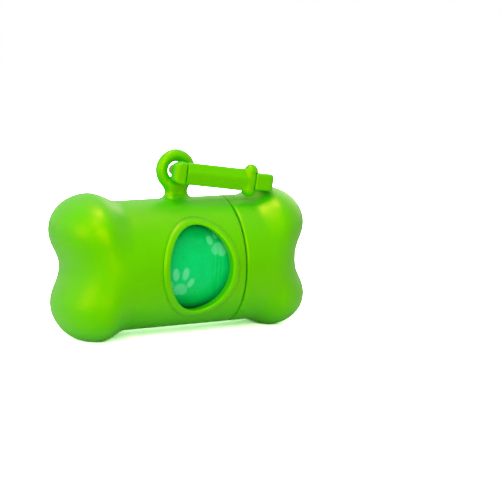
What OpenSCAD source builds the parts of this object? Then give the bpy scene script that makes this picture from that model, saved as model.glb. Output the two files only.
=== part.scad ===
// Dog poop bag dispenser: a hollow bone standing on its long edge. The cap end
// unscrews to load a roll of bags, a window in the front lets the bags out, and
// a clip hangs in the loop on top. Millimetres, Z up. X runs along the bone from
// the closed end to the cap, and -Y is the window side.

/* [Bone] */
// overall length of the bone
bone_len = 85; // [75:1:105]
// diameter of the straight barrel
barrel_d = 41.4; // [36:0.2:50]
// height over the two lobes of the closed end
body_lobe_h = 46.8; // [42:0.1:56]
// height over the two lobes of the cap end
cap_lobe_h = 45.8; // [42:0.1:56]
// radius of a lobe, seen from the front
lobe_r = 11.7; // [10.4:0.1:13]
// depth of a lobe against its height
lobe_deep = 1.56; // [1.4:0.02:1.7]
// softness of the blend between lobe and barrel
lobe_blend = 6.9; // [5:0.1:10]
// wall thickness of the shells
wall = 1.4; // [1.1:0.1:1.9]

/* [Seam] */
// where the cap meets the body, from the middle of the bone
seam_x = 14.8; // [14:0.1:19]
// open line between the cap and the body
seam_gap = 0.3; // [0.2:0.05:0.6]
// length of the neck that stands out of the body
neck_len = 8.5; // [6:0.5:10]
// wall of the neck sleeve
neck_wall = 0.9; // [0.8:0.1:1.2]
// wall of the screw ring inside the cap
collar_wall = 1.0; // [0.8:0.1:1.2]
// running clearance between neck and screw ring
neck_clear = 0.1; // [0.05:0.01:0.2]

/* [Window] */
// width of the opening in the front
window_w = 21.3; // [16:0.1:22.5]
// height of the opening in the front
window_h = 27.2; // [22:0.2:29]
// width of the raised lip round the opening
rim_w = 2.4; // [1.8:0.1:2.8]
// how far the lip stands above the barrel
rim_rise = 0.9; // [0.5:0.1:1.3]

/* [Loop] */
// outer diameter of the loop on top
loop_d = 13.6; // [12:0.2:17]
// thickness of the loop's ring
loop_wire = 4.0; // [3:0.1:4.2]
// height of the loop's centre above the barrel
loop_rise = 8.9; // [8.4:0.1:11]

/* [Bag roll] */
// length of the roll of bags
roll_len = 58; // [46:1:61]
// room between the roll and the neck it passes through
roll_clear = 0.45; // [0.35:0.05:1.5]
// outer diameter of the card core
core_d = 14; // [10:1:20]

/* [Clip] */
// length of the clip, from the bar in the loop to the far crossbar
clip_len = 29.5; // [24:0.5:36]
// distance between the gate and the long bar
clip_w = 11.0; // [10.8:0.1:14]
// thickness of the round bars
clip_bar = 3.4; // [2.8:0.1:3.6]
// height of the gate, across the clip's plane
gate_h = 6.2; // [5:0.1:7]
// depth of the gate, in the clip's plane
gate_deep = 4.6; // [4:0.1:5]
// overall length of the thumb bar across the gate's tip
thumb_len = 10.7; // [9:0.1:12.5]
// thickness of the thumb bar
thumb_d = 4.6; // [4:0.1:4.8]
// how far the clip leans down towards the cap
clip_tilt = 8.0; // [6:0.5:12]

/* [Hidden] */
eps = 0.01;
n_round = 60;                      // facets round the bone
barrel_r = barrel_d / 2;
lobe_r_cap = lobe_r - 0.6;
body_ax = bone_len / 2 - lobe_r;
cap_ax = bone_len / 2 - lobe_r_cap;
body_az = body_lobe_h / 2 - lobe_r;
cap_az = cap_lobe_h / 2 - lobe_r_cap;
inner_squeeze = 0.624;             // lobes are tighter on the side facing the barrel
barrel_half = bone_len / 2 - 8.5;  // the barrel's own end, inside the lobes
end_round = 10;                    // rounding of that end
rest_h = max(min(cap_lobe_h, body_lobe_h) / 2 - 0.15, barrel_r);  // rests on its lobes, or on a barrel thicker than they are
mid_y = rim_rise / 2;              // keeps the object centred over its base
turn_x = bone_len / 2 - 18.5;      // where the skin's rays start to turn to the end
collar_r = barrel_r - wall - 0.08; // screw ring, outside
collar_in = collar_r - collar_wall;
neck_r = collar_in - neck_clear;
neck_in = neck_r - neck_wall;
film = 0.30;                       // the leading bag, folded flat
roll_r = neck_in - roll_clear - film - 0.05;
core_r = core_d / 2;
win_x = -0.9;
ring_R = (loop_d - loop_wire) / 2;
loop_x = -0.6;
loop_z = barrel_r + loop_rise;
clip_p = [loop_x + 0.25, 0, loop_z - 0.2];
clip_yaw = -6;
clip_roll = 2.5;
bar_r = clip_bar / 2;
bend = 2.4;                        // centre-line radius of the clip's corners
gate_v = -clip_w / 2 - 0.6;        // middle of the gate
far_v = clip_w / 2 - 0.6;          // middle of the long bar
pivot_u = 0.1;
block_end = 1.1;                   // where the hinge block stops and the gate starts
gate_gap = 0.3;
nose_len = 6.7;
nose_h = 5.4;
nose_u = clip_len + bar_r - nose_len;
thumb_u = nose_u - 1.3;
tongue_h = 2.2;
pin_r = 0.7;
tongue_r = 1.3;

lime = [0.45, 0.80, 0.05];
teal = [0.05, 0.78, 0.42];
card = [0.62, 0.52, 0.40];

// ---- the bone's form -------------------------------------------------------
// smooth union of two distances
function blend(a, b, k) = let (h = max(k - abs(a - b), 0) / k) min(a, b) - h * h * k / 4;
// distance to one lobe, a ball deeper than tall and tighter on its inner side
function lobe(x, y, z, ax, r) =
    let (u = abs(x) - ax, s = u < 0 ? u / inner_squeeze : u, t = y / lobe_deep)
    sqrt(s * s + t * t + z * z) - r;
// distance to the barrel, with rounded ends
function barrel(x, rad) =
    let (dx = abs(x) - (barrel_half - end_round), dr = rad - (barrel_r - end_round))
    min(max(dx, dr), 0) + norm([max(dx, 0), max(dr, 0)]) - end_round;
function bone(p) =
    let (x = p[0], ax = x < 0 ? body_ax : cap_ax, az = x < 0 ? body_az : cap_az,
         r = x < 0 ? lobe_r : lobe_r_cap,
         two = blend(lobe(x, p[1], p[2] - az, ax, r), lobe(x, p[1], p[2] + az, ax, r),
                     lobe_blend * 1.5))
    blend(barrel(x, norm([p[1], p[2]])), two, lobe_blend);
// where a ray from o along d leaves the form shrunk by off
function reach(o, d, off, lo = 6, hi = 34, n = 13) =
    n == 0 ? (lo + hi) / 2
    : let (m = (lo + hi) / 2) bone(o + m * d) + off < 0 ? reach(o, d, off, m, hi, n - 1)
                                                        : reach(o, d, off, lo, m, n - 1);
function flat_foot(p, off) = [p[0], p[1], max(p[2], -rest_h + off)];
// one ring of skin points; a = tilt of the rays towards the end
function ring(x, a, s, off) =
    [for (j = [0 : n_round - 1]) let (q = 360 * j / n_round, o = [x, 0, 0],
        d = [s * sin(a), cos(a) * cos(q), cos(a) * sin(q)]) flat_foot(o + reach(o, d, off) * d, off)];
// the stations: straight ones from the mouth, then turning ones
function stations(mouth, s) = concat(
    [[mouth, 0]],
    [for (x = [12 : 2 : turn_x - 1]) if (s * mouth < x - 1) [s * x, 0]],
    [for (a = [0 : 5.8 : 87.1]) [s * turn_x, a]]);
// closed shell between an outer and an inner skin, open at the mouth plane
module bone_shell(mouth, s) {
    st = stations(mouth, s);
    n = len(st);
    m = n_round;
    out = [for (t = st) each ring(t[0], t[1], s, 0)];
    inn = [for (t = st) each ring(t[0], t[1], s, wall)];
    tip = [s * turn_x, 0, 0] + reach([s * turn_x, 0, 0], [s, 0, 0], 0) * [s, 0, 0];
    tip_in = [s * turn_x, 0, 0] + reach([s * turn_x, 0, 0], [s, 0, 0], wall) * [s, 0, 0];
    pts = concat(out, inn, [tip, tip_in]);
    k = n * m;
    side = [for (i = [0 : n - 2], j = [0 : m - 1])
        let (a = i * m + j, b = i * m + (j + 1) % m, c = a + m, d = b + m)
        each [[a, c, b], [b, c, d], [k + a, k + b, k + c], [k + b, k + d, k + c]]];
    ends = [for (j = [0 : m - 1]) let (a = (n - 1) * m + j, b = (n - 1) * m + (j + 1) % m)
        each [[a, 2 * k, b], [k + a, k + b, 2 * k + 1]]];
    lip = [for (j = [0 : m - 1]) let (a = j, b = (j + 1) % m) each [[a, b, k + a], [b, k + b, k + a]]];
    f = concat(side, ends, lip);
    polyhedron(pts, s > 0 ? f : [for (t = f) [t[2], t[1], t[0]]], convexity = 8);
}

// ---- window ------------------------------------------------------------------
function window_pts(w, h, n) = [for (i = [0 : n - 1]) [win_x + w / 2 * cos(360 * i / n), h / 2 * sin(360 * i / n)]];
module window_cut(grow) {
    rotate([90, 0, 0]) linear_extrude(barrel_r + 4)
        polygon(window_pts(window_w + 2 * grow, window_h + 2 * grow, 72));
}
// one section of the rim at angle a: points across the lip, outer side first
rim_sec = [[0.98, 0.04], [1, 0.2], [0.86, 0.6], [0.55, 0.9], [0.1, 1.0], [-0.45, 0.85], [-0.85, 0.4],
           [-1, -0.2], [-1, -2.2], [-0.1, -2.2], [-0.1, 0.04]];
function rim_pt(a, q) =
    let (w = window_w / 2 + rim_w / 2, h = window_h / 2 + rim_w / 2,
         e = [cos(a), sin(a)], nn = [cos(a) / w, sin(a) / h], o = nn / norm(nn),
         c = [win_x + w * e[0], h * e[1]] + o * q[0] * rim_w / 2,
         lift = q[1] < 0 ? q[1] * 0.72 : q[1] * rim_rise,
         rr = barrel_r + 0.02 + lift, z = c[1])
    [c[0], -sqrt(max(rr * rr - z * z, 1)), z];

module body_shell() color(lime) {
    difference() {
        bone_shell(seam_x - seam_gap / 2, -1);
        window_cut(rim_w * 0.5);
    }
    loop();
}

module loop() {
    translate([loop_x, 0, loop_z]) rotate([90, 0, 0])
        rotate_extrude($fn = 64) translate([ring_R, 0]) circle(loop_wire / 2, $fn = 32);
    foot = loop_z - ring_R;
    difference() {
        union() {
            for (s = [-1, 1]) translate([loop_x + s * 1.7, 0, barrel_r - 1.2])
                rotate_extrude($fn = 40) polygon(concat([[0, 0]],
                    [for (a = [0 : 15 : 90]) [loop_wire / 2 + 2.4 - 2.4 * sin(a), 1.0 + 2.4 - 2.4 * cos(a)]],
                    [[loop_wire / 2, foot - barrel_r + 2.6], [0, foot - barrel_r + 2.6]]));
            translate([loop_x - 1.7, -loop_wire / 2, barrel_r - 1.2])
                cube([3.4, loop_wire, foot - barrel_r + 2.6]);
        }
        translate([loop_x, 20, loop_z]) rotate([90, 0, 0])
            cylinder(r = ring_R - loop_wire / 2 + 0.55, h = 40, $fn = 64);
    }
}

module window_rim() color(lime) {
    n = 72;
    m = len(rim_sec);
    pts = [for (i = [0 : n - 1]) each [for (q = rim_sec) rim_pt(360 * i / n, q)]];
    polyhedron(pts, [for (i = [0 : n - 1], j = [0 : m - 1])
        let (a = i * m + j, b = i * m + (j + 1) % m, c = ((i + 1) % n) * m + j, d = ((i + 1) % n) * m + (j + 1) % m)
        each [[a, c, b], [b, c, d]]], convexity = 6);
}

// a ring turned about the bone's axis from [x, r] points
module turned(p) rotate([0, 90, 0]) rotate([0, 0, 90]) rotate_extrude($fn = 96) polygon([for (q = p) [q[1], q[0]]]);

module body_neck() color(lime) turned([
    [seam_x - 2.9, collar_r], [seam_x - 0.5, collar_r], [seam_x - 0.2, collar_r - 0.3],
    [seam_x - 0.2, neck_r], [seam_x + neck_len - 0.5, neck_r],
    [seam_x + neck_len, neck_r - 0.4], [seam_x + neck_len, neck_in + 0.1],
    [seam_x + neck_len - 0.3, neck_in], [seam_x - 2.6, neck_in], [seam_x - 2.9, neck_in + 0.3]]);

module cap_shell() color(lime) bone_shell(seam_x + seam_gap / 2, 1);

module cap_collar() color(lime) turned([
    [seam_x + 0.4, collar_in + 0.3], [seam_x + 0.4, collar_r - 0.15], [seam_x + 0.6, collar_r],
    [seam_x + neck_len + 0.6, collar_r], [seam_x + neck_len + 0.6, collar_in], [seam_x + 0.7, collar_in]]);

// ---- roll of bags ------------------------------------------------------------
module tube(ro, ri, len, fn = 96) translate([-len / 2, 0, 0]) rotate([0, 90, 0]) difference() {
    cylinder(r = ro, h = len, $fn = fn);
    translate([0, 0, -1]) cylinder(r = ri, h = len + 2, $fn = fn);
}
module roll_core() color(card) tube(core_r, core_r - 1.0, roll_len + 0.6);
module bag_roll() color(teal) tube(roll_r, core_r + 0.02, roll_len);
module leading_bag() color(teal) difference() {
    tube(roll_r + 0.05 + film, roll_r + 0.05, roll_len - 0.6);
    rotate([275, 0, 0]) translate([-roll_len, 0, 0]) cube([2 * roll_len, 2 * roll_r, 2 * roll_r]);
}

// ---- clip, in its own frame: u along it, v across it, w out of its plane ------
module rod(p, q, r) {
    d = q - p;
    translate(p) rotate([0, acos(d[2] / norm(d)), atan2(d[1], d[0])]) cylinder(r = r, h = norm(d), $fn = 32);
}
module elbow(c, from) translate(c) rotate([0, 0, from])
    rotate_extrude(angle = 90, $fn = 64) translate([bend, 0]) circle(bar_r, $fn = 32);
// rectangle with cut corners
function cut_rect(x0, y0, x1, y1, c) = [[x0 + c, y0], [x1 - c, y0], [x1, y0 + c], [x1, y1 - c],
    [x1 - c, y1], [x0 + c, y1], [x0, y1 - c], [x0, y0 + c]];
// block from a plan (u, v) and a side outline (u, w)
module block(plan, side) intersection() {
    translate([0, 0, -10]) linear_extrude(20) polygon(plan);
    rotate([90, 0, 0]) translate([0, 0, -20]) linear_extrude(40) polygon(side);
}
module clip_frame() color(lime) difference() {
    union() {
        rod([0, gate_v + gate_deep / 2 - 0.02, 0], [0, far_v - bend, 0], bar_r);
        elbow([bend, far_v - bend, 0], 90);
        rod([bend, far_v, 0], [clip_len - bend, far_v, 0], bar_r);
        elbow([clip_len - bend, far_v - bend, 0], 0);
        rod([clip_len, far_v - bend, 0], [clip_len, gate_v + 1.6, 0], bar_r);
        block([[-bar_r, gate_v + gate_deep / 2], [-bar_r, gate_v - gate_deep / 2 + 1.8],
               [-bar_r + 0.5, gate_v - gate_deep / 2 + 0.6], [-bar_r + 1.7, gate_v - gate_deep / 2],
               [block_end, gate_v - gate_deep / 2], [block_end, gate_v + gate_deep / 2 - 0.3],
               [block_end - 0.3, gate_v + gate_deep / 2]],
              cut_rect(-bar_r - 0.01, -gate_h / 2, block_end + 0.01, gate_h / 2, 0.9));
        block([[nose_u, gate_v - gate_deep / 2], [nose_u + nose_len - 2, gate_v - gate_deep / 2],
               [nose_u + nose_len - 0.6, gate_v - gate_deep / 2 + 0.7], [nose_u + nose_len, gate_v - gate_deep / 2 + 2],
               [nose_u + nose_len, gate_v + gate_deep / 2], [nose_u, gate_v + gate_deep / 2]],
              cut_rect(nose_u, -nose_h / 2, nose_u + nose_len + 0.01, nose_h / 2, 0.9));
    }
    // slot for the gate's tongue, and the pin's hole
    translate([pivot_u, gate_v, 0]) cylinder(r = tongue_r + 0.15, h = tongue_h + 0.24, center = true, $fn = 48);
    translate([pivot_u, gate_v - tongue_r - 0.15, -tongue_h / 2 - 0.12])
        cube([block_end - pivot_u + 1, 2 * tongue_r + 0.6, tongue_h + 0.24]);
    translate([pivot_u, gate_v, -gate_h]) cylinder(r = pin_r, h = 2 * gate_h, $fn = 32);
}
module clip_gate() color(lime) difference() {
    union() {
        // bar with a ridge along its front
        translate([block_end + gate_gap, gate_v, 0]) rotate([90, 0, 90]) linear_extrude(nose_u - gate_gap - block_end - gate_gap)
            polygon([[-gate_deep / 2 - 0.2, 0.4], [-gate_deep / 2 + 0.9, gate_h / 2], [gate_deep / 2 - 0.9, gate_h / 2],
                     [gate_deep / 2, gate_h / 2 - 0.9], [gate_deep / 2, 0.9 - gate_h / 2],
                     [gate_deep / 2 - 0.9, -gate_h / 2], [-gate_deep / 2 + 0.9, -gate_h / 2]]);
        translate([thumb_u, gate_v, 0]) {
            cylinder(r = thumb_d / 2, h = thumb_len - thumb_d, center = true, $fn = 48);
            for (s = [-1, 1]) translate([0, 0, s * (thumb_len - thumb_d) / 2]) sphere(thumb_d / 2, $fn = 48);
        }
        translate([pivot_u, gate_v, 0]) cylinder(r = tongue_r, h = tongue_h, center = true, $fn = 48);
        translate([pivot_u, gate_v - tongue_r, -tongue_h / 2]) cube([block_end - pivot_u + 1, 2 * tongue_r, tongue_h]);
    }
    translate([pivot_u, gate_v, -gate_h]) cylinder(r = pin_r + 0.05, h = 2 * gate_h, $fn = 32);
    // the thumb bar stops short of the nose, and only its ends stand past it
    translate([nose_u - gate_gap, gate_v - gate_deep, -nose_h / 2 - 0.1]) cube([gate_deep, 2 * gate_deep, nose_h + 0.2]);
    // the shoulder leans back on its inner side, so that it clears the hinge block
    for (s = [-1, 1]) translate([0, gate_v, s * (tongue_h / 2 + gate_h / 2)])
        linear_extrude(gate_h, center = true) polygon([[block_end + gate_gap - 0.3, 0.2],
            [block_end + gate_gap, 0.2], [block_end + gate_gap + 1.5, gate_deep / 2 + 0.1],
            [block_end + gate_gap - 0.3, gate_deep / 2 + 0.1]]);
    translate([0, gate_v, -tongue_h / 2 - eps]) linear_extrude(tongue_h + 2 * eps)
        polygon([[block_end + 0.4, tongue_r], [block_end + gate_gap + 1.5, gate_deep / 2 + 0.1], [block_end + gate_gap + 1.5, gate_deep],
                 [block_end - 1, gate_deep], [block_end - 1, tongue_r]]);
}
module gate_pin() color(lime) translate([pivot_u, gate_v, -gate_h / 2 + 0.25]) cylinder(r = pin_r, h = gate_h - 0.5, $fn = 32);

module on_axis() translate([0, mid_y, rest_h]) children();
module in_loop() translate(clip_p) rotate([0, 0, clip_yaw]) rotate([0, clip_tilt, 0]) rotate([clip_roll, 0, 0]) children();

on_axis() body_shell();
on_axis() body_neck();
on_axis() window_rim();
on_axis() cap_shell();
on_axis() cap_collar();
on_axis() roll_core();
on_axis() bag_roll();
on_axis() leading_bag();
on_axis() in_loop() clip_frame();
on_axis() in_loop() clip_gate();
on_axis() in_loop() gate_pin();
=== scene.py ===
"""Looks of a bone-shaped dispenser for dog poop bags.

The bone is a smooth form: a round barrel with two lobes at each end. It is the
construction model's form, worked out at a finer grain and skinned as a mesh.
The clip's gate and hinge block are a little larger here than in that model.
Lengths in the forms are millimetres, measured from the middle of the bone's axis.
"""
import math

import bmesh
import bpy
import numpy as np
from mathutils import Matrix, Vector


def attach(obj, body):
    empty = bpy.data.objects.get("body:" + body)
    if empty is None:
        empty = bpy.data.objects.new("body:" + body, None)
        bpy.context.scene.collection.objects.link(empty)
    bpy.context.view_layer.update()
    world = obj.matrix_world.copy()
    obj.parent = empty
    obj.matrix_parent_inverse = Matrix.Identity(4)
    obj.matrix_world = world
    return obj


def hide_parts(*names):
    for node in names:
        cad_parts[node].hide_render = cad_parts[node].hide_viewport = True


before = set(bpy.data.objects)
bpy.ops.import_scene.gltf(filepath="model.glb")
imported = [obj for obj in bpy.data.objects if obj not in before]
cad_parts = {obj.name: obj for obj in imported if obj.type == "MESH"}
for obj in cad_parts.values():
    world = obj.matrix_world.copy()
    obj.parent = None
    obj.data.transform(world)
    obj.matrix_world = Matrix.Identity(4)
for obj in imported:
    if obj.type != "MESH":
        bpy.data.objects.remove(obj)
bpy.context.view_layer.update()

MM = 0.001

# ---- sizes, in millimetres -----------------------------------------------------------
BONE_LEN = 85.0
BARREL_R = 20.7
LOBE_R_BODY, LOBE_R_CAP = 11.7, 11.1
LOBE_X_BODY = BONE_LEN / 2 - LOBE_R_BODY
LOBE_X_CAP = BONE_LEN / 2 - LOBE_R_CAP
LOBE_H_BODY, LOBE_H_CAP = 46.8, 45.8
LOBE_Z_BODY = LOBE_H_BODY / 2 - LOBE_R_BODY
LOBE_Z_CAP = LOBE_H_CAP / 2 - LOBE_R_CAP
LOBE_DEEP = 1.56
LOBE_BLEND = 6.9
INNER_SQUEEZE = 0.624
BARREL_HALF, END_ROUND = 34.0, 10.0
WALL = 1.4
SEAM_X, SEAM_GAP = 14.8, 0.3
REST_H = 22.75
MID_Y = 0.45
WIN_X, WIN_W, WIN_H, RIM_W, RIM_RISE = -0.9, 21.3, 27.2, 2.4, 0.9
LOOP_X, LOOP_Z, LOOP_WIRE, LOOP_R = -0.6, 29.6, 2.0, 4.8
NECK_R, NECK_IN, NECK_LEN = 18.12, 17.22, 8.5
COLLAR_R = 19.22
CLIP_LEN, BAR_R, BEND = 29.5, 1.7, 2.4
GATE_V, FAR_V = -6.1, 4.9
GATE_H, GATE_DEEP, GATE_GAP = 7.0, 4.6, 0.3  # the construction model's gate is 6.2 high
PIVOT_U, BLOCK_END = 0.1, 1.1
HINGE_OVER = 1.2  # how much longer the hinge block is here
NOSE_LEN, NOSE_H = 6.7, 5.4
NOSE_U = CLIP_LEN + BAR_R - NOSE_LEN
THUMB_U = NOSE_U - 1.3
THUMB_R, THUMB_HALF = 2.3, 3.05
TONGUE_H, TONGUE_R, PIN_R = 2.2, 1.3, 0.7
ROLL_R, FILM, ROLL_LEN, CORE_R = 16.42, 0.30, 58.0, 7.0
TURN_R = 10.0  # radius that the turned pieces' outlines are measured from
THREAD_LEAD, THREAD_STARTS = 6.0, 2.0
CLIP_PLACE = (
    Matrix.Translation((LOOP_X + 0.25, 0.0, LOOP_Z - 0.2))
    @ Matrix.Rotation(math.radians(-6.0), 4, "Z")
    @ Matrix.Rotation(math.radians(8.0), 4, "Y")
    @ Matrix.Rotation(math.radians(2.5), 4, "X")
)

# ---- light ---------------------------------------------------------------------------
AMBIENT = 0.32
FLOOR_HALF = 8.0  # half the floor's side, in metres
FLOOR_SHADE = 0.88  # what the floor throws back on the object
FLOOR_SEEN, FLOOR_FAR = 6.5, 8.0  # what the camera sees, near and far from the object
FLOOR_FADE = (0.15, 0.9)  # between these distances, in metres
# name, place in metres, side in metres, watts
LAMPS = [
    ("key softbox", (-0.28, -0.68, 0.36), 0.26, 1.15),
    ("low softbox", (-0.30, -0.68, 0.06), 0.40, 0.9),
    ("upper left softbox", (-0.30, -0.34, 0.66), 0.30, 1.15),
    ("overhead softbox", (-0.02, -0.02, 0.85), 0.15, 1.7),
    ("left softbox", (-0.74, -0.15, 0.25), 0.50, 1.4),
    ("back softbox", (0.55, 0.45, 0.35), 0.50, 0.8),
]

# ---- camera, fitted to the photograph ------------------------------------------------
CAMERA_TURN, CAMERA_RISE, CAMERA_ROLL = 25.79, 7.895, 0.36  # degrees
CAMERA_AWAY, PX_PER_MM = 478.07, 3.081  # at the middle of the bone, in millimetres
FRAME_PX, SENSOR = 500.0, 36.0
MIDDLE_PX = (178.488, 261.003)  # where the middle of the bone falls in the frame


# ---- forms: negative inside ----------------------------------------------------------
def blend_min(a, b, k):
    h = np.maximum(k - np.abs(a - b), 0.0) / k
    return np.minimum(a, b) - h * h * k * 0.25


def blend_max(a, b, k):
    return -blend_min(-a, -b, k)


def lobe(x, y, z, at_x, r):
    u = np.abs(x) - at_x
    s = np.where(u < 0, u / INNER_SQUEEZE, u)
    return np.sqrt(s * s + (y / LOBE_DEEP) ** 2 + z * z) - r


def barrel(x, y, z):
    dx = np.abs(x) - (BARREL_HALF - END_ROUND)
    dr = np.hypot(y, z) - (BARREL_R - END_ROUND)
    outside = np.hypot(np.maximum(dx, 0), np.maximum(dr, 0))
    return np.minimum(np.maximum(dx, dr), 0) + outside - END_ROUND


def bone(x, y, z):
    at_x = np.where(x < 0, LOBE_X_BODY, LOBE_X_CAP)
    at_z = np.where(x < 0, LOBE_Z_BODY, LOBE_Z_CAP)
    r = np.where(x < 0, LOBE_R_BODY, LOBE_R_CAP)
    pair = blend_min(lobe(x, y, z - at_z, at_x, r), lobe(x, y, z + at_z, at_x, r), LOBE_BLEND * 1.5)
    return blend_min(barrel(x, y, z), pair, LOBE_BLEND)


def ellipse(a, b, half_a, half_b):
    k1 = np.sqrt((a / half_a) ** 2 + (b / half_b) ** 2) + 1e-6
    k2 = np.sqrt((a / half_a ** 2) ** 2 + (b / half_b ** 2) ** 2) + 1e-6
    return k1 * (k1 - 1.0) / k2


def upright(x, y, z, at_x, low, high, r):
    return np.sqrt((x - at_x) ** 2 + y * y + (z - np.clip(z, low, high)) ** 2) - r


def loop_form(x, y, z):
    ring = np.hypot(np.hypot(x - LOOP_X, z - LOOP_Z) - LOOP_R, y) - (LOOP_WIRE - 0.06)
    # the faint line left where the mould closed, and its nib on top
    ring = ring - 0.06 * np.exp(-(y / 0.18) ** 2)
    nib = upright(x, y, z, LOOP_X + 0.2, LOOP_Z + 6.2, LOOP_Z + 6.42, 0.34)
    ring = blend_min(ring, nib, 0.5)
    leg_low, leg_high = 17.0, LOOP_Z - LOOP_R
    legs = blend_min(
        upright(x, y, z, LOOP_X - 1.75, leg_low, leg_high, 1.95),
        upright(x, y, z, LOOP_X + 1.75, leg_low, leg_high, 1.95),
        2.0,
    )
    return blend_min(ring, legs, 1.6)


def foot_cut(z):
    return -(z + REST_H)


def body_form(x, y, z):
    skin = bone(x, y, z)
    solid = blend_min(skin, loop_form(x, y, z), 2.6)
    solid = blend_max(solid, foot_cut(z), 0.5)
    shell = blend_max(solid, -(skin + WALL), 0.2)
    window = ellipse(x - WIN_X, z, (WIN_W + RIM_W) / 2, (WIN_H + RIM_W) / 2)
    shell = blend_max(shell, -np.maximum(window, y), 0.3)
    return blend_max(shell, x - (SEAM_X - SEAM_GAP / 2), 0.5)


def cap_form(x, y, z):
    skin = bone(x, y, z)
    solid = blend_max(skin, foot_cut(z), 0.5)
    shell = blend_max(solid, -(skin + WALL), 0.2)
    return blend_max(shell, SEAM_X + SEAM_GAP / 2 - x, 1.0)


def slab(a, low, high):
    return np.maximum(low - a, a - high)


def planes(a, b, faces, soft):
    """Convex outline from (normal angle in degrees, distance) pairs, edges eased by soft."""
    out = None
    for angle, reach in faces:
        d = a * math.cos(math.radians(angle)) + b * math.sin(math.radians(angle)) - reach
        out = d if out is None else blend_max(out, d, soft)
    return out


def round_block(u, v, w, low, high, r):
    q = [np.abs(c - (a + b) / 2) - ((b - a) / 2 - r) for c, a, b in zip((u, v, w), low, high)]
    out = np.sqrt(sum(np.maximum(c, 0) ** 2 for c in q))
    return out + np.minimum(np.maximum(np.maximum(q[0], q[1]), q[2]), 0) - r


def clip_frame_form(u, v, w):
    du = np.abs(u - CLIP_LEN / 2) - (CLIP_LEN / 2 - BEND)
    dv = v - (FAR_V - BEND)
    path = np.hypot(np.maximum(du, 0), np.maximum(dv, 0)) + np.minimum(np.maximum(du, dv), 0) - BEND
    bars = np.hypot(path, w) - BAR_R
    near = GATE_V + GATE_DEEP / 2
    bars = np.maximum(bars, near - 0.8 - v)
    end = -BAR_R - HINGE_OVER
    hinge = round_block(u, v, w, (end, GATE_V - GATE_DEEP / 2, -GATE_H / 2),
                        (BLOCK_END, near, GATE_H / 2), 0.55)
    corner = (end + BAR_R - u - (v - GATE_V)) * math.sqrt(0.5) - 2.35
    hinge = blend_max(hinge, corner, 0.8)
    # its end is bevelled above and below
    bevel = (np.abs(w) - GATE_H / 2) * 0.85 + (end - u) * 0.53 + 0.95
    hinge = blend_max(hinge, bevel, 0.5)
    nose = round_block(u, v, w, (NOSE_U, GATE_V - GATE_DEEP / 2, -NOSE_H / 2),
                       (NOSE_U + NOSE_LEN, near, NOSE_H / 2), 0.7)
    corner = ((u - NOSE_U - NOSE_LEN) - (v - GATE_V + GATE_DEEP / 2)) * math.sqrt(0.5) + 0.75
    nose = blend_max(nose, corner, 1.2)
    solid = blend_min(blend_min(bars, hinge, 0.9), nose, 0.9)
    # the slot that the gate's tongue turns in
    way_in = np.maximum(slab(v, GATE_V - TONGUE_R - 0.15, GATE_V + TONGUE_R + 0.45),
                        slab(u, PIVOT_U, BLOCK_END + 0.6))
    plan = np.minimum(np.hypot(u - PIVOT_U, v - GATE_V) - TONGUE_R - 0.15, way_in)
    slot = np.maximum(slab(w, -TONGUE_H / 2 - 0.12, TONGUE_H / 2 + 0.12), plan)
    return blend_max(solid, -slot, 0.12)


def gate_form(u, v, w):
    vv = v - GATE_V
    half_d, half_h = GATE_DEEP / 2, GATE_H / 2
    cut = half_d * 0.7071 + half_h * 0.7071 - 0.65
    section = planes(vv, w, [(0, half_d), (90, half_h), (270, half_h), (45, cut), (315, cut)], 0.5)
    # two sloped faces meet in the crease along the front
    upper = -vv * math.cos(math.radians(22)) + (w - 0.5) * math.sin(math.radians(22)) - half_d
    lower = -vv * math.cos(math.radians(17)) - (w - 0.5) * math.sin(math.radians(17)) - half_d
    section = blend_max(blend_max(section, upper, 0.35), lower, 0.35)
    bar = blend_max(section, slab(u, BLOCK_END + GATE_GAP, NOSE_U - GATE_GAP), 0.35)
    relief = (0.80 * (v - GATE_V - 0.2) - 0.55 * (u - BLOCK_END - GATE_GAP))
    bar = blend_max(bar, relief, 0.3)
    past_end = w - np.clip(w, -THUMB_HALF, THUMB_HALF)
    thumb = np.sqrt((u - THUMB_U) ** 2 + vv ** 2 + past_end ** 2) - THUMB_R
    past_nose = np.maximum(NOSE_U - GATE_GAP - u, np.abs(w) - NOSE_H / 2 - 0.1)
    thumb = blend_max(thumb, -past_nose, 0.2)
    solid = blend_min(bar, thumb, 0.7)
    root = np.maximum(slab(vv, -TONGUE_R, TONGUE_R), slab(u, PIVOT_U, BLOCK_END + 1.2))
    plan = np.minimum(np.hypot(u - PIVOT_U, vv) - TONGUE_R, root)
    solid = np.minimum(solid, np.maximum(slab(w, -TONGUE_H / 2, TONGUE_H / 2), plan))
    return np.maximum(solid, PIN_R + 0.05 - np.hypot(u - PIVOT_U, vv))


# ---- skinning a form -----------------------------------------------------------------
def sample(form, axes):
    """The form's values on a grid, one layer at a time to save memory."""
    ys, zs = np.meshgrid(axes[1], axes[2], indexing="ij")
    out = np.empty((len(axes[0]),) + ys.shape)
    for i, x in enumerate(axes[0]):
        out[i] = form(np.full(ys.shape, x), ys, zs)
    return out


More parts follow.
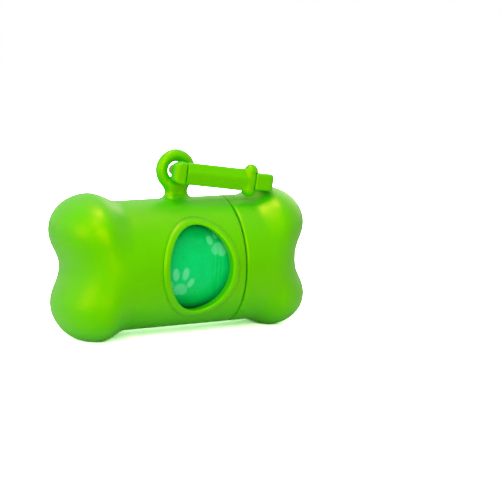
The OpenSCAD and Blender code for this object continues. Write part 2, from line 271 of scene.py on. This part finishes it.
def skin(form, low, high, cell):
    """Vertices and quads of the form's surface: one vertex in each grid cell that it crosses."""
    low = np.array(low, float)
    counts = [int(math.ceil((b - a) / cell)) + 1 for a, b in zip(low, high)]
    axes = [low[k] + cell * np.arange(counts[k]) for k in range(3)]
    f = sample(form, axes)
    inside = f < 0
    cells = tuple(n - 1 for n in counts)
    total = np.zeros(cells + (3,))
    hits = np.zeros(cells)
    corner = [(i, j, k) for i in (0, 1) for j in (0, 1) for k in (0, 1)]

    def part(grid, c):
        return grid[c[0]:c[0] + cells[0], c[1]:c[1] + cells[1], c[2]:c[2] + cells[2]]

    for a in corner:
        for axis in range(3):
            if a[axis]:
                continue
            b = tuple(1 if m == axis else a[m] for m in range(3))
            fa, fb = part(f, a), part(f, b)
            cross = part(inside, a) != part(inside, b)
            t = np.where(cross, fa / np.where(cross, fa - fb, 1.0), 0.0)
            for m in range(3):
                total[..., m] += np.where(cross, t if m == axis else a[m], 0.0)
            hits += cross
    used = hits > 0
    number = np.full(cells, -1, dtype=np.int64)
    number[used] = np.arange(used.sum())
    where = np.argwhere(used)
    points = low + cell * (where + total[used] / hits[used][:, None])
    points = settle(form, points, cell)
    quads = []
    for axis in range(3):
        p, q = (axis + 1) % 3, (axis + 2) % 3
        first = [slice(None)] * 3
        second = [slice(None)] * 3
        first[axis], second[axis] = slice(0, -1), slice(1, None)
        a, b = inside[tuple(first)], inside[tuple(second)]
        spots = np.argwhere(a != b)
        within = [(spots[:, m] > 0) & (spots[:, m] < counts[m] - 1) for m in (p, q)]
        spots = spots[within[0] & within[1]]
        step_p, step_q = np.eye(3, dtype=int)[p], np.eye(3, dtype=int)[q]
        loop = [spots - step_p - step_q, spots - step_q, spots, spots - step_p]
        ring = np.stack([number[tuple(c.T)] for c in loop], axis=1)
        flip = ~a[tuple(spots.T)]
        ring[flip] = ring[flip][:, ::-1]
        quads.append(ring)
    return points, np.concatenate(quads)


def gradient(form, p, h=0.02):
    x, y, z = p.T
    return np.stack([
        form(x + h, y, z) - form(x - h, y, z),
        form(x, y + h, z) - form(x, y - h, z),
        form(x, y, z + h) - form(x, y, z - h),
    ], axis=1) / (2 * h)


def settle(form, points, cell):
    """Pulls the vertices onto the surface, never further than half a cell."""
    start = points.copy()
    for _ in range(3):
        g = gradient(form, points)
        size = np.maximum((g * g).sum(axis=1), 0.2)
        step = -(form(*points.T) / size)[:, None] * g
        length = np.linalg.norm(step, axis=1)[:, None]
        points = points + step * np.minimum(1.0, 0.3 * cell / np.maximum(length, 1e-9))
    move = points - start
    length = np.linalg.norm(move, axis=1)[:, None]
    return start + move * np.minimum(1.0, 0.5 * cell / np.maximum(length, 1e-9))


def to_place(points, place=None):
    """From a form's millimetres to the frame's metres."""
    if place is not None:
        m = np.array(place)
        points = points @ m[:3, :3].T + m[:3, 3]
    return (points + np.array([0.0, MID_Y, REST_H])) * MM


def turn_outwards(mesh):
    """Turns a closed mesh's faces round if they point into it."""
    work = bmesh.new()
    work.from_mesh(mesh)
    if work.calc_volume(signed=True) < 0:
        bmesh.ops.reverse_faces(work, faces=work.faces)
        work.to_mesh(mesh)
    work.free()


def mesh_piece(name, points, faces, material):
    mesh = bpy.data.meshes.new(name)
    mesh.from_pydata([tuple(p) for p in points], [], [tuple(int(i) for i in f) for f in faces])
    mesh.validate()
    mesh.polygons.foreach_set("use_smooth", [True] * len(mesh.polygons))
    turn_outwards(mesh)
    mesh.update()
    piece = bpy.data.objects.new(name, mesh)
    bpy.context.scene.collection.objects.link(piece)
    mesh.materials.append(material)
    return piece


def form_piece(name, form, low, high, cell, material, place=None):
    cell = cell * 1.0
    points, quads = skin(form, low, high, cell)
    return mesh_piece(name, to_place(points, place), quads, material)


# ---- shader helpers ------------------------------------------------------------------
def node(tree, kind, **values):
    """A new node. in_Some_Name sets its input of that name, other words its own settings."""
    made = tree.nodes.new(kind)
    for key, value in values.items():
        if key.startswith("in_"):
            made.inputs[key[3:].replace("_", " ")].default_value = value
        else:
            setattr(made, key, value)
    return made


def link(tree, a, b):
    tree.links.new(a, b)


def math_node(tree, operation, a, b=None):
    made = tree.nodes.new("ShaderNodeMath")
    made.operation = operation
    for i, value in enumerate((a, b)):
        if value is None:
            continue
        if hasattr(value, "links"):
            tree.links.new(value, made.inputs[i])
        else:
            made.inputs[i].default_value = value
    return made.outputs[0]


def mix_colour(tree, factor, a, b):
    made = tree.nodes.new("ShaderNodeMix")
    made.data_type = "RGBA"
    for index, value in ((0, factor), (6, a), (7, b)):
        if hasattr(value, "links"):
            tree.links.new(value, made.inputs[index])
        else:
            made.inputs[index].default_value = value
    return made.outputs[2]


def linear(r, g, b):
    """sRGB from 0 to 255, as linear light."""
    def one(c):
        c /= 255.0
        return c / 12.92 if c <= 0.04045 else ((c + 0.055) / 1.055) ** 2.4
    return (one(r), one(g), one(b), 1.0)


def moulded_grain_group():
    """Fine surface of a moulding: a bump height and slow drifts of shade and gloss."""
    tree = bpy.data.node_groups.new("moulded grain", "ShaderNodeTree")
    face = tree.interface
    face.new_socket("Vector", in_out="INPUT", socket_type="NodeSocketVector")
    for title, value in (("Grain Scale", 2600.0), ("Drift Scale", 60.0)):
        made = face.new_socket(title, in_out="INPUT", socket_type="NodeSocketFloat")
        made.default_value = value
    face.new_socket("Height", in_out="OUTPUT", socket_type="NodeSocketFloat")
    face.new_socket("Shade", in_out="OUTPUT", socket_type="NodeSocketFloat")
    face.new_socket("Gloss", in_out="OUTPUT", socket_type="NodeSocketFloat")
    gate = tree.nodes.new("NodeGroupInput")
    out = tree.nodes.new("NodeGroupOutput")
    grain = node(tree, "ShaderNodeTexNoise", in_Detail=2.0)
    drift = node(tree, "ShaderNodeTexNoise", in_Detail=3.0, in_Roughness=0.55)
    smear = node(tree, "ShaderNodeTexNoise", in_Detail=4.0, in_Roughness=0.6)
    for tex in (grain, drift, smear):
        link(tree, gate.outputs["Vector"], tex.inputs["Vector"])
    link(tree, gate.outputs["Grain Scale"], grain.inputs["Scale"])
    link(tree, gate.outputs["Drift Scale"], drift.inputs["Scale"])
    link(tree, math_node(tree, "MULTIPLY", gate.outputs["Drift Scale"], 4.3), smear.inputs["Scale"])
    link(tree, grain.outputs[0], out.inputs["Height"])
    link(tree, drift.outputs[0], out.inputs["Shade"])
    link(tree, smear.outputs[0], out.inputs["Gloss"])
    return tree


GRAIN = moulded_grain_group()


def object_vector(tree):
    return tree.nodes.new("ShaderNodeTexCoord").outputs["Object"]


def span(tree, value, low, high, out_low, out_high):
    made = tree.nodes.new("ShaderNodeMapRange")
    tree.links.new(value, made.inputs[0])
    for i, number in enumerate((low, high, out_low, out_high)):
        made.inputs[i + 1].default_value = number
    return made.outputs[0]


def lime_plastic():
    material = bpy.data.materials.new("lime satin plastic")
    material.use_nodes = True
    tree = material.node_tree
    shader = tree.nodes["Principled BSDF"]
    grain = tree.nodes.new("ShaderNodeGroup")
    grain.node_tree = GRAIN
    link(tree, object_vector(tree), grain.inputs["Vector"])
    colour = mix_colour(tree, span(tree, grain.outputs["Shade"], 0.3, 0.7, 0.0, 1.0),
                        linear(48, 206, 0), linear(60, 213, 0))
    link(tree, colour, shader.inputs["Base Color"])
    link(tree, span(tree, grain.outputs["Gloss"], 0.3, 0.7, 0.38, 0.46), shader.inputs["Roughness"])
    bump = node(tree, "ShaderNodeBump", in_Strength=0.12, in_Distance=0.00004)
    link(tree, grain.outputs["Height"], bump.inputs["Height"])
    link(tree, bump.outputs[0], shader.inputs["Normal"])
    shader.inputs["Specular IOR Level"].default_value = 1.0
    shader.inputs["Specular Tint"].default_value = (1.0, 0.42, 0.0, 1.0)
    shader.inputs["IOR"].default_value = 1.7
    shader.inputs["Subsurface Weight"].default_value = 0.35
    shader.inputs["Subsurface Radius"].default_value = (0.25, 1.0, 0.10)
    shader.inputs["Subsurface Scale"].default_value = 0.003
    return material


def teal_film():
    material = bpy.data.materials.new("teal bag film")
    material.use_nodes = True
    tree = material.node_tree
    shader = tree.nodes["Principled BSDF"]
    grain = tree.nodes.new("ShaderNodeGroup")
    grain.node_tree = GRAIN
    grain.inputs["Grain Scale"].default_value = 420.0
    grain.inputs["Drift Scale"].default_value = 90.0
    link(tree, object_vector(tree), grain.inputs["Vector"])
    base = mix_colour(tree, span(tree, grain.outputs["Shade"], 0.3, 0.7, 0.0, 1.0),
                      linear(0, 205, 94), linear(0, 220, 110))
    mask = node(tree, "ShaderNodeAttribute", attribute_name="print")
    printed = mix_colour(tree, mask.outputs["Fac"], base, linear(100, 230, 155))
    link(tree, printed, shader.inputs["Base Color"])
    link(tree, span(tree, grain.outputs["Gloss"], 0.3, 0.7, 0.24, 0.36), shader.inputs["Roughness"])
    shader.inputs["Specular Tint"].default_value = (0.15, 1.0, 0.65, 1.0)
    bump = node(tree, "ShaderNodeBump", in_Strength=0.35, in_Distance=0.0002)
    link(tree, grain.outputs["Height"], bump.inputs["Height"])
    link(tree, bump.outputs[0], shader.inputs["Normal"])
    return material


def raw_card():
    material = bpy.data.materials.new("raw card")
    material.use_nodes = True
    tree = material.node_tree
    shader = tree.nodes["Principled BSDF"]
    fibre = node(tree, "ShaderNodeTexNoise", in_Scale=900.0, in_Detail=6.0)
    link(tree, object_vector(tree), fibre.inputs["Vector"])
    colour = mix_colour(tree, fibre.outputs[0], linear(120, 104, 84), linear(178, 160, 134))
    link(tree, colour, shader.inputs["Base Color"])
    shader.inputs["Roughness"].default_value = 0.9
    bump = node(tree, "ShaderNodeBump", in_Strength=0.4, in_Distance=0.0001)
    link(tree, fibre.outputs[0], bump.inputs["Height"])
    link(tree, bump.outputs[0], shader.inputs["Normal"])
    return material


LIME = lime_plastic()
TEAL = teal_film()
CARD = raw_card()


# ---- pieces --------------------------------------------------------------------------
def bone_body():
    low, high = (-43.2, -21.6, -23.4), (15.2, 21.6, 37.4)
    piece = form_piece("body_shell_moulding", body_form, low, high, 0.47, LIME)
    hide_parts("body_shell")
    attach(piece, "body")


def bone_cap():
    low, high = (14.4, -21.6, -23.4), (43.2, 21.6, 23.6)
    piece = form_piece("cap_shell_moulding", cap_form, low, high, 0.44, LIME)
    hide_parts("cap_shell")
    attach(piece, "cap")


# ---- Geometry Nodes: an outline swept round a path, then bent to its rule ------------
def outline_tree(title, sizes):
    """A tree that takes an outline and named sizes, and sweeps it round a path of Steps."""
    tree = bpy.data.node_groups.new(title, "GeometryNodeTree")
    face = tree.interface
    face.new_socket("Outline", in_out="INPUT", socket_type="NodeSocketGeometry")
    face.new_socket("Steps", in_out="INPUT", socket_type="NodeSocketInt")
    face.new_socket("Finish", in_out="INPUT", socket_type="NodeSocketMaterial")
    for size in sizes:
        face.new_socket(size, in_out="INPUT", socket_type="NodeSocketFloat")
    face.new_socket("Piece", in_out="OUTPUT", socket_type="NodeSocketGeometry")
    return tree, tree.nodes.new("NodeGroupInput")


def position_of(tree):
    """The three coordinates of each point, as sockets."""
    apart = tree.nodes.new("ShaderNodeSeparateXYZ")
    link(tree, tree.nodes.new("GeometryNodeInputPosition").outputs[0], apart.inputs[0])
    return apart.outputs


def set_position(tree, shape, x, y, z):
    """Moves each point of the shape to (x, y, z), given as sockets or numbers."""
    joined = tree.nodes.new("ShaderNodeCombineXYZ")
    for i, value in enumerate((x, y, z)):
        if hasattr(value, "links"):
            link(tree, value, joined.inputs[i])
        else:
            joined.inputs[i].default_value = value
    moved = tree.nodes.new("GeometryNodeSetPosition")
    link(tree, shape, moved.inputs["Geometry"])
    link(tree, joined.outputs[0], moved.inputs["Position"])
    return moved.outputs[0]


def swept(tree, gate, path):
    """The outline carried round the path: its X lies across the path, its Y down along Z."""
    outline = tree.nodes.new("GeometryNodeMeshToCurve")
    link(tree, gate.outputs["Outline"], outline.inputs[0])
    upright_path = node(tree, "GeometryNodeSetCurveNormal", mode="Z_UP")
    link(tree, path, upright_path.inputs[0])
    sweep = tree.nodes.new("GeometryNodeCurveToMesh")
    link(tree, upright_path.outputs[0], sweep.inputs["Curve"])
    link(tree, outline.outputs[0], sweep.inputs["Profile Curve"])
    return sweep.outputs[0]


def close_tree(tree, gate, shape):
    whole = tree.nodes.new("GeometryNodeRealizeInstances")
    link(tree, shape, whole.inputs[0])
    finish = tree.nodes.new("GeometryNodeSetMaterial")
    link(tree, whole.outputs[0], finish.inputs["Geometry"])
    link(tree, gate.outputs["Finish"], finish.inputs["Material"])
    link(tree, finish.outputs[0], tree.nodes.new("NodeGroupOutput").inputs[0])


def grown_piece(name, tree, outline, steps, material, sizes):
    """Runs a tree on a closed outline of (x, y) points and keeps the result as a plain mesh."""
    seed = bpy.data.meshes.new(name + "_outline")
    count = len(outline)
    # -y, because a swept outline's Y points down
    seed.from_pydata([(x, -y, 0.0) for x, y in outline], [(i, (i + 1) % count) for i in range(count)], [])
    carrier = bpy.data.objects.new(name + "_outline", seed)
    bpy.context.scene.collection.objects.link(carrier)
    modifier = carrier.modifiers.new("sweep", "NODES")
    modifier.node_group = tree
    values = dict(sizes, Steps=steps, Finish=material)
    for item in tree.interface.items_tree:
        if item.in_out == "INPUT" and item.name in values:
            modifier[item.identifier] = values[item.name]
    graph = bpy.context.evaluated_depsgraph_get()
    mesh = bpy.data.meshes.new_from_object(carrier.evaluated_get(graph), depsgraph=graph)
    mesh.name = name
    carrier.modifiers.remove(modifier)
    bpy.data.objects.remove(carrier)
    mesh.transform(Matrix.Translation(Vector((0.0, MID_Y, REST_H)) * MM) @ Matrix.Scale(MM, 4))
    mesh.polygons.foreach_set("use_smooth", [True] * len(mesh.polygons))
    turn_outwards(mesh)
    piece = bpy.data.objects.new(name, mesh)
    bpy.context.scene.collection.objects.link(piece)
    return piece


def lip_tree():
    """An oval lip on a barrel: swept flat round the oval, then laid on the barrel's round."""
    names = ("Half Width", "Half Height", "Middle", "Barrel Radius")
    tree, gate = outline_tree("oval lip on a barrel", names)
    circle = node(tree, "GeometryNodeCurvePrimitiveCircle", in_Radius=1.0)
    link(tree, gate.outputs["Steps"], circle.inputs["Resolution"])
    x, y, _ = position_of(tree)
    wide = math_node(tree, "MULTIPLY", x, gate.outputs["Half Width"])
    high = math_node(tree, "MULTIPLY", y, gate.outputs["Half Height"])
    flat = swept(tree, gate, set_position(tree, circle.outputs[0], wide, high, 0.0))
    x, y, rise = position_of(tree)
    reach = math_node(tree, "POWER", math_node(tree, "ADD", rise, gate.outputs["Barrel Radius"]), 2.0)
    rest = math_node(tree, "SUBTRACT", reach, math_node(tree, "POWER", y, 2.0))
    depth = math_node(tree, "SQRT", math_node(tree, "MAXIMUM", rest, 1.0))
    front = math_node(tree, "MULTIPLY", depth, -1.0)
    along = math_node(tree, "ADD", x, gate.outputs["Middle"])
    close_tree(tree, gate, set_position(tree, flat, along, front, y))
    return tree


def rim_outline():
    """Across the lip: (offset from its middle, height above the barrel), outer side first."""
    half = RIM_W / 2
    top = []
    for i in range(21):
        a = math.pi * i / 20
        top.append((math.cos(a), 0.05 + max(math.sin(a), 0.0) ** 0.8 * RIM_RISE * 0.95))
    wall = [(-1.0, -0.3), (-1.0, -1.4), (-1.0, -2.3), (-0.96, -2.55), (-0.86, -2.62), (-0.66, -2.62),
            (-0.58, -2.5), (-0.55, -1.7), (-0.48, -1.55), (-0.2, -1.55), (-0.12, -1.5), (-0.1, 0.03)]
    return [(off * half, rise) for off, rise in top + wall]


def window_rim():
    sizes = {"Half Width": (WIN_W + RIM_W) / 2, "Half Height": (WIN_H + RIM_W) / 2,
             "Middle": WIN_X, "Barrel Radius": BARREL_R}
    piece = grown_piece("window_rim_lip", lip_tree(), rim_outline(), 240, LIME, sizes)
    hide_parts("window_rim")
    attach(piece, "body")


def clip_frame():
    low, high = (-3.6, -9.0, -4.1), (32.0, 7.2, 4.1)
    piece = form_piece("clip_frame_moulding", clip_frame_form, low, high, 0.22, LIME, CLIP_PLACE)
    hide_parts("clip_frame")
    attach(piece, "clip")


def clip_gate():
    low, high = (-1.9, -9.3, -6.0), (26.4, -3.2, 6.0)
    piece = form_piece("clip_gate_moulding", gate_form, low, high, 0.20, LIME, CLIP_PLACE)
    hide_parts("clip_gate")
    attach(piece, "gate")


# each pad: (its middle, its half sizes in mm, how far it leans in radians)
PAW_TOES = [((-1.65, 2.65), (1.05, 2.0), 0.08), ((1.65, 2.65), (1.05, 2.0), -0.2),
            ((-3.5, -0.45), (0.95, 1.65), 0.5), ((3.5, -0.45), (0.95, 1.65), -0.5)]
PAW_HEEL = [((0.0, -2.2), (2.1, 1.8), 0.0), ((-1.2, -3.2), (1.3, 1.5), 0.5),
            ((1.2, -3.2), (1.3, 1.5), -0.5)]
HEEL_INK = 0.76  # the heel is printed fainter than the toes
PAW_START, PAW_APART = (-6.2, -4.4), (24.3, 13.6)
ODD_ROW_SHIFT, ODD_ROW_TURN = (14.2, -1.2), -0.3


def oval_mask(a, b, pads):
    mask = np.zeros_like(a)
    for (pa, pb), (ra, rb), lean in pads:
        x = (a - pa) * math.cos(lean) + (b - pb) * math.sin(lean)
        y = -(a - pa) * math.sin(lean) + (b - pb) * math.cos(lean)
        d = np.sqrt((x / ra) ** 2 + (y / rb) ** 2)
        mask = np.maximum(mask, np.clip((1.13 - d) / 0.26, 0.0, 1.0))
    return mask


def paw_mask(u, v, spots):
    """How much ink covers each point of the film: u runs along the roll, v up round it, in mm."""
    mask = np.zeros_like(u)
    for at_u, at_v, turn in spots:
        cu, cv = u - at_u, v - at_v
        a = cu * math.cos(turn) + cv * math.sin(turn)
        b = -cu * math.sin(turn) + cv * math.cos(turn)
        heel = HEEL_INK * oval_mask(a, b, PAW_HEEL)
        mask = np.maximum(mask, np.maximum(oval_mask(a, b, PAW_TOES), heel))
    return mask


def paw_spots():
    """The generic paws stand in staggered rows, every second one turned."""
    spots = []
    for row in range(-5, 6):
        odd = row % 2
        for column in range(-3, 4):
            at_u = PAW_START[0] + PAW_APART[0] * column + ODD_ROW_SHIFT[0] * odd
            at_v = PAW_START[1] + PAW_APART[1] * row + ODD_ROW_SHIFT[1] * odd
            spots.append((at_u, at_v, ODD_ROW_TURN * odd))
    return spots


# (place along the roll, width, depth, from and to round the roll), in mm
CREASES = [
    (5.4, 0.30, 0.16, -6.0, 6.0), (6.5, 0.26, 0.22, -11.0, 4.0), (7.5, 0.40, 0.14, -4.0, 9.0),
    (3.2, 0.50, 0.05, 6.0, 13.0), (-7.0, 0.45, 0.06, 0.0, 12.0), (-19.0, 0.4, 0.12, -20.0, 8.0),
    (-24.0, 0.5, 0.10, -8.0, 22.0), (15.0, 0.4, 0.12, -25.0, 5.0), (21.0, 0.5, 0.10, -9.0, 24.0),
]


def sag(u, v):
    """How far the film lies below its tightest, in mm: slow waves and creases round the roll."""
    slow = 0.06 + 0.035 * np.sin(u * 0.5 + 1.3 * np.sin(v * 0.21)) + 0.02 * np.sin(v * 0.55 + u * 0.23)
    creases = np.zeros_like(u)
    for at_u, width, deep, low, high in CREASES:
        sway = at_u + 0.25 * np.sin(v * 0.45 + at_u)
        fade = 1.0 / (1.0 + np.exp(-(v - low) / 1.2)) / (1.0 + np.exp((v - high) / 1.2))
        creases = creases + deep * fade * np.exp(-((u - sway) / width) ** 2)
    return slow + creases


# the outer bag, folded flat: its angles in degrees are 0 at the front and rise upwards
BAG_THICK, BAG_START, BAG_SWEEP = 0.22, -175.0, 268.0
BAG_STEP = 0.34
BAG_DRAWN_IN = 0.2  # how much lower its two ends lie


def film_faces(nu, nv):
    """Quads of a closed sheet: an outer grid of nu by nv points, an inner one and their edges."""
    n = nu * nv
    faces = []
    for i in range(nu - 1):
        for j in range(nv - 1):
            p = i * nv + j
            faces.append((p, p + 1, p + nv + 1, p + nv))
            faces.append((n + p, n + p + nv, n + p + nv + 1, n + p + 1))
    for i in range(nu - 1):
        p, q = i * nv, i * nv + nv - 1
        faces.append((p, p + nv, n + p + nv, n + p))
        faces.append((q, n + q, n + q + nv, q + nv))
    for j in range(nv - 1):
        p, q = j, (nu - 1) * nv + j
        faces.append((p, n + p, n + p + 1, p + 1))
        faces.append((q, q + 1, n + q + 1, n + q))
    return faces


def outer_bag():
    """The bag that is next to be drawn out, wrapped round the roll, with its printed paws."""
    r_out, half_len = ROLL_R + 0.05 + FILM, ROLL_LEN / 2 - 0.3
    step = BAG_STEP * 1.0
    nu = int(2 * half_len / step) + 1
    nv = int(math.radians(BAG_SWEEP) * r_out / step) + 1
    places = np.linspace(-half_len, half_len, nu)
    angles = np.radians(BAG_START + np.linspace(0, BAG_SWEEP, nv))
    u, a = np.meshgrid(places, angles, indexing="ij")
    v = a * r_out
    edge = np.clip((half_len - np.abs(u)) / 2.0, 0, 1)
    r = r_out - BAG_DRAWN_IN * (1 - edge) ** 2 - sag(u, v) * edge
    out = np.stack([u, -r * np.cos(a), r * np.sin(a)], axis=-1).reshape(-1, 3)
    r_in = r - BAG_THICK
    inn = np.stack([u, -r_in * np.cos(a), r_in * np.sin(a)], axis=-1).reshape(-1, 3)
    points = to_place(np.concatenate([out, inn]))
    piece = mesh_piece("leading_bag_film", points, film_faces(nu, nv), TEAL)
    mask = paw_mask(u, v, paw_spots()).reshape(-1)
    layer = piece.data.attributes.new("print", "FLOAT", "POINT")
    layer.data.foreach_set("value", np.concatenate([mask, mask]).astype(np.float32))
    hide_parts("leading_bag")
    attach(piece, "roll")


def turned_tree():
    """A piece turned round the bone's axis, with a round-topped screw thread on its root."""
    names = ("Turn Radius", "Root Radius", "Thread Rise", "Lead", "Starts", "Thread From",
             "Thread To", "Run Out")
    tree, gate = outline_tree("turned piece with a thread", names)
    size = gate.outputs

    def calc(operation, a, b=None):
        return math_node(tree, operation, a, b)

    circle = tree.nodes.new("GeometryNodeCurvePrimitiveCircle")
    link(tree, size["Steps"], circle.inputs["Resolution"])
    link(tree, size["Turn Radius"], circle.inputs["Radius"])
    shape = swept(tree, gate, circle.outputs[0])
    x, y, along = position_of(tree)
    radius = calc("SQRT", calc("ADD", calc("MULTIPLY", x, x), calc("MULTIPLY", y, y)))
    angle = calc("ARCTAN2", y, x)
    # one ridge for each start, round on top, running out at both ends
    pitch = calc("DIVIDE", size["Lead"], size["Starts"])
    past = calc("SUBTRACT", along, size["Thread From"])
    turns = calc("MULTIPLY", calc("DIVIDE", past, pitch), 2 * math.pi)
    wave = calc("COSINE", calc("SUBTRACT", turns, calc("MULTIPLY", angle, size["Starts"])))
    ridge = calc("POWER", calc("MAXIMUM", wave, 0.0), 0.7)
    begin = calc("DIVIDE", past, size["Run Out"])
    end = calc("DIVIDE", calc("SUBTRACT", size["Thread To"], along), size["Run Out"])
    fade = calc("MINIMUM", calc("MAXIMUM", calc("MINIMUM", begin, end), 0.0), 1.0)
    on_root = calc("LESS_THAN", calc("ABSOLUTE", calc("SUBTRACT", radius, size["Root Radius"])), 0.03)
    rise = calc("MULTIPLY", calc("MULTIPLY", calc("MULTIPLY", ridge, fade), on_root), size["Thread Rise"])
    grown = calc("DIVIDE", calc("ADD", radius, rise), radius)
    front = calc("MULTIPLY", calc("MULTIPLY", x, grown), -1.0)
    close_tree(tree, gate, set_position(tree, shape, along, front, calc("MULTIPLY", y, grown)))
    return tree


def turned_piece(name, outline, steps, material, thread=None):
    """Turns a closed outline of (x, r) points round the bone's axis."""
    sizes = {"Turn Radius": TURN_R, "Root Radius": 0.0, "Thread Rise": 0.0, "Lead": THREAD_LEAD,
             "Starts": THREAD_STARTS, "Thread From": 0.0, "Thread To": 1.0, "Run Out": 0.8}
    sizes.update(thread or {})
    return grown_piece(name, TURNED, [(r - TURN_R, x) for x, r in outline], steps, material, sizes)


TURNED = turned_tree()


def wound_roll():
    """The winding under the outer bag: its ends show the turns as fine uneven steps."""
    rng = np.random.default_rng(11)
    half, count = ROLL_LEN / 2, 34
    turns = np.linspace(CORE_R + 0.05, ROLL_R, count)
    # the innermost and outermost turns end a little short
    short = [0.5 if i in (0, count - 1) else 0.0 for i in range(count)]
    right = [(half - 0.25 * rng.random() - s, r) for s, r in zip(short, turns)]
    left = [(-half + 0.25 * rng.random() + s, r) for s, r in zip(short, turns[::-1])]
    piece = turned_piece("bag_roll_winding", right + left, 160, TEAL)
    layer = piece.data.attributes.new("print", "FLOAT", "POINT")
    layer.data.foreach_set("value", np.zeros(len(piece.data.vertices), dtype=np.float32))
    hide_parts("bag_roll")
    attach(piece, "roll")


def threaded_neck():
    """The sleeve that the cap screws onto, with two starts of a shallow round thread."""
    root, far = NECK_R - 0.45, SEAM_X + NECK_LEN
    shoulder = [(SEAM_X - 2.9, NECK_IN + 0.3), (SEAM_X - 2.9, COLLAR_R), (SEAM_X - 0.5, COLLAR_R),
                (SEAM_X - 0.25, COLLAR_R - 0.3), (SEAM_X - 0.2, root)]
    sleeve = [(x, root) for x in np.linspace(SEAM_X + 0.3, far - 0.4, 70)]
    mouth = [(far, root - 0.2), (far, NECK_IN + 0.1), (far - 0.3, NECK_IN), (SEAM_X - 2.6, NECK_IN)]
    thread = {"Root Radius": root, "Thread Rise": 0.43, "Thread From": SEAM_X + 1.2, "Thread To": far - 1.0}
    piece = turned_piece("body_neck_thread", shoulder + sleeve + mouth, 288, LIME, thread)
    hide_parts("body_neck")
    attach(piece, "body")


def dress_kept_nodes():
    for name, material in (("cap_collar", LIME), ("gate_pin", LIME), ("roll_core", CARD)):
        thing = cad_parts[name]
        thing.data.materials.clear()
        thing.data.materials.append(material)


# ---- camera, floor and light ---------------------------------------------------------
def aim(turn, rise, roll):
    """Right, up and back directions of a camera at that turn to the left and rise, in degrees."""
    yaw, lift, tip = (math.radians(a) for a in (turn, rise, roll))
    back = Vector((-math.sin(yaw) * math.cos(lift), -math.cos(yaw) * math.cos(lift), math.sin(lift)))
    right = Vector((math.cos(yaw), -math.sin(yaw), 0.0))
    up = back.cross(right)
    right_tipped = right * math.cos(tip) - up * math.sin(tip)
    up_tipped = right * math.sin(tip) + up * math.cos(tip)
    return right_tipped, up_tipped, back


def camera():
    right, up, back = aim(CAMERA_TURN, CAMERA_RISE, CAMERA_ROLL)
    side = (MIDDLE_PX[0] - FRAME_PX / 2) / PX_PER_MM
    height = -(MIDDLE_PX[1] - FRAME_PX / 2) / PX_PER_MM
    place = back * CAMERA_AWAY - right * side - up * height + Vector((0.0, MID_Y, REST_H))
    lens = bpy.data.cameras.new("camera")
    lens.sensor_width = SENSOR
    lens.lens = SENSOR * PX_PER_MM * CAMERA_AWAY / FRAME_PX
    lens.clip_start, lens.clip_end = 0.01, 10.0
    eye = bpy.data.objects.new("camera", lens)
    turn = Matrix((right, up, back)).transposed().to_4x4()
    eye.matrix_world = Matrix.Translation(place * MM) @ turn
    bpy.context.scene.collection.objects.link(eye)
    bpy.context.scene.camera = eye


def seen_directly(tree):
    """1 for camera rays and for rays that reach the camera by a mirror or through glass."""
    path = tree.nodes.new("ShaderNodeLightPath")
    straight = math_node(tree, "MAXIMUM", path.outputs["Is Camera Ray"], path.outputs["Is Transmission Ray"])
    return math_node(tree, "MAXIMUM", straight, path.outputs["Is Glossy Ray"])


def floor():
    """A pale floor. Seen directly it is bright enough to be white where no shadow falls."""
    mesh = bpy.data.meshes.new("floor")
    corners = [(a * FLOOR_HALF, b * FLOOR_HALF, 0) for a, b in ((-1, -1), (1, -1), (1, 1), (-1, 1))]
    mesh.from_pydata(corners, [], [(0, 1, 2, 3)])
    plane = bpy.data.objects.new("floor", mesh)
    bpy.context.scene.collection.objects.link(plane)
    material = bpy.data.materials.new("pale floor")
    material.use_nodes = True
    tree = material.node_tree
    tree.nodes.clear()
    out = tree.nodes.new("ShaderNodeOutputMaterial")
    matt = tree.nodes.new("ShaderNodeBsdfDiffuse")
    away = tree.nodes.new("ShaderNodeVectorMath")
    away.operation = "LENGTH"
    link(tree, object_vector(tree), away.inputs[0])
    far = span(tree, away.outputs["Value"], *FLOOR_FADE, 0.0, 1.0)
    seen = mix_colour(tree, far, (FLOOR_SEEN,) * 3 + (1.0,), (FLOOR_FAR,) * 3 + (1.0,))
    path = tree.nodes.new("ShaderNodeLightPath")
    colour = mix_colour(tree, path.outputs["Is Camera Ray"], (FLOOR_SHADE,) * 3 + (1.0,), seen)
    link(tree, colour, matt.inputs[0])
    link(tree, matt.outputs[0], out.inputs[0])
    mesh.materials.append(material)


def soft_light(name, place, size, power):
    """A square softbox that faces the middle of the object."""
    lamp = bpy.data.lights.new(name, "AREA")
    lamp.shape = "SQUARE"
    lamp.size = size
    lamp.energy = power
    thing = bpy.data.objects.new(name, lamp)
    spot = Vector(place)
    facing = (Vector((0.0, 0.0, 0.025)) - spot).to_track_quat("-Z", "Y")
    thing.matrix_world = Matrix.Translation(spot) @ facing.to_matrix().to_4x4()
    bpy.context.scene.collection.objects.link(thing)


def studio():
    world = bpy.data.worlds.new("studio")
    bpy.context.scene.world = world
    world.use_nodes = True
    tree = world.node_tree
    tree.nodes.clear()
    out = tree.nodes.new("ShaderNodeOutputWorld")
    ambient = node(tree, "ShaderNodeBackground", in_Color=(1.0, 1.0, 1.0, 1.0), in_Strength=AMBIENT)
    seen = node(tree, "ShaderNodeBackground", in_Color=(1.0, 1.0, 1.0, 1.0), in_Strength=1.0)
    mix = tree.nodes.new("ShaderNodeMixShader")
    link(tree, seen_directly(tree), mix.inputs[0])
    link(tree, ambient.outputs[0], mix.inputs[1])
    link(tree, seen.outputs[0], mix.inputs[2])
    link(tree, mix.outputs[0], out.inputs[0])
    for name, place, size, power in LAMPS:
        soft_light(name, place, size, power)
    bpy.context.scene.view_settings.view_transform = "Standard"


camera()
floor()
studio()
bone_body()
bone_cap()
window_rim()
clip_frame()
clip_gate()
threaded_neck()
wound_roll()
outer_bag()
dress_kept_nodes()
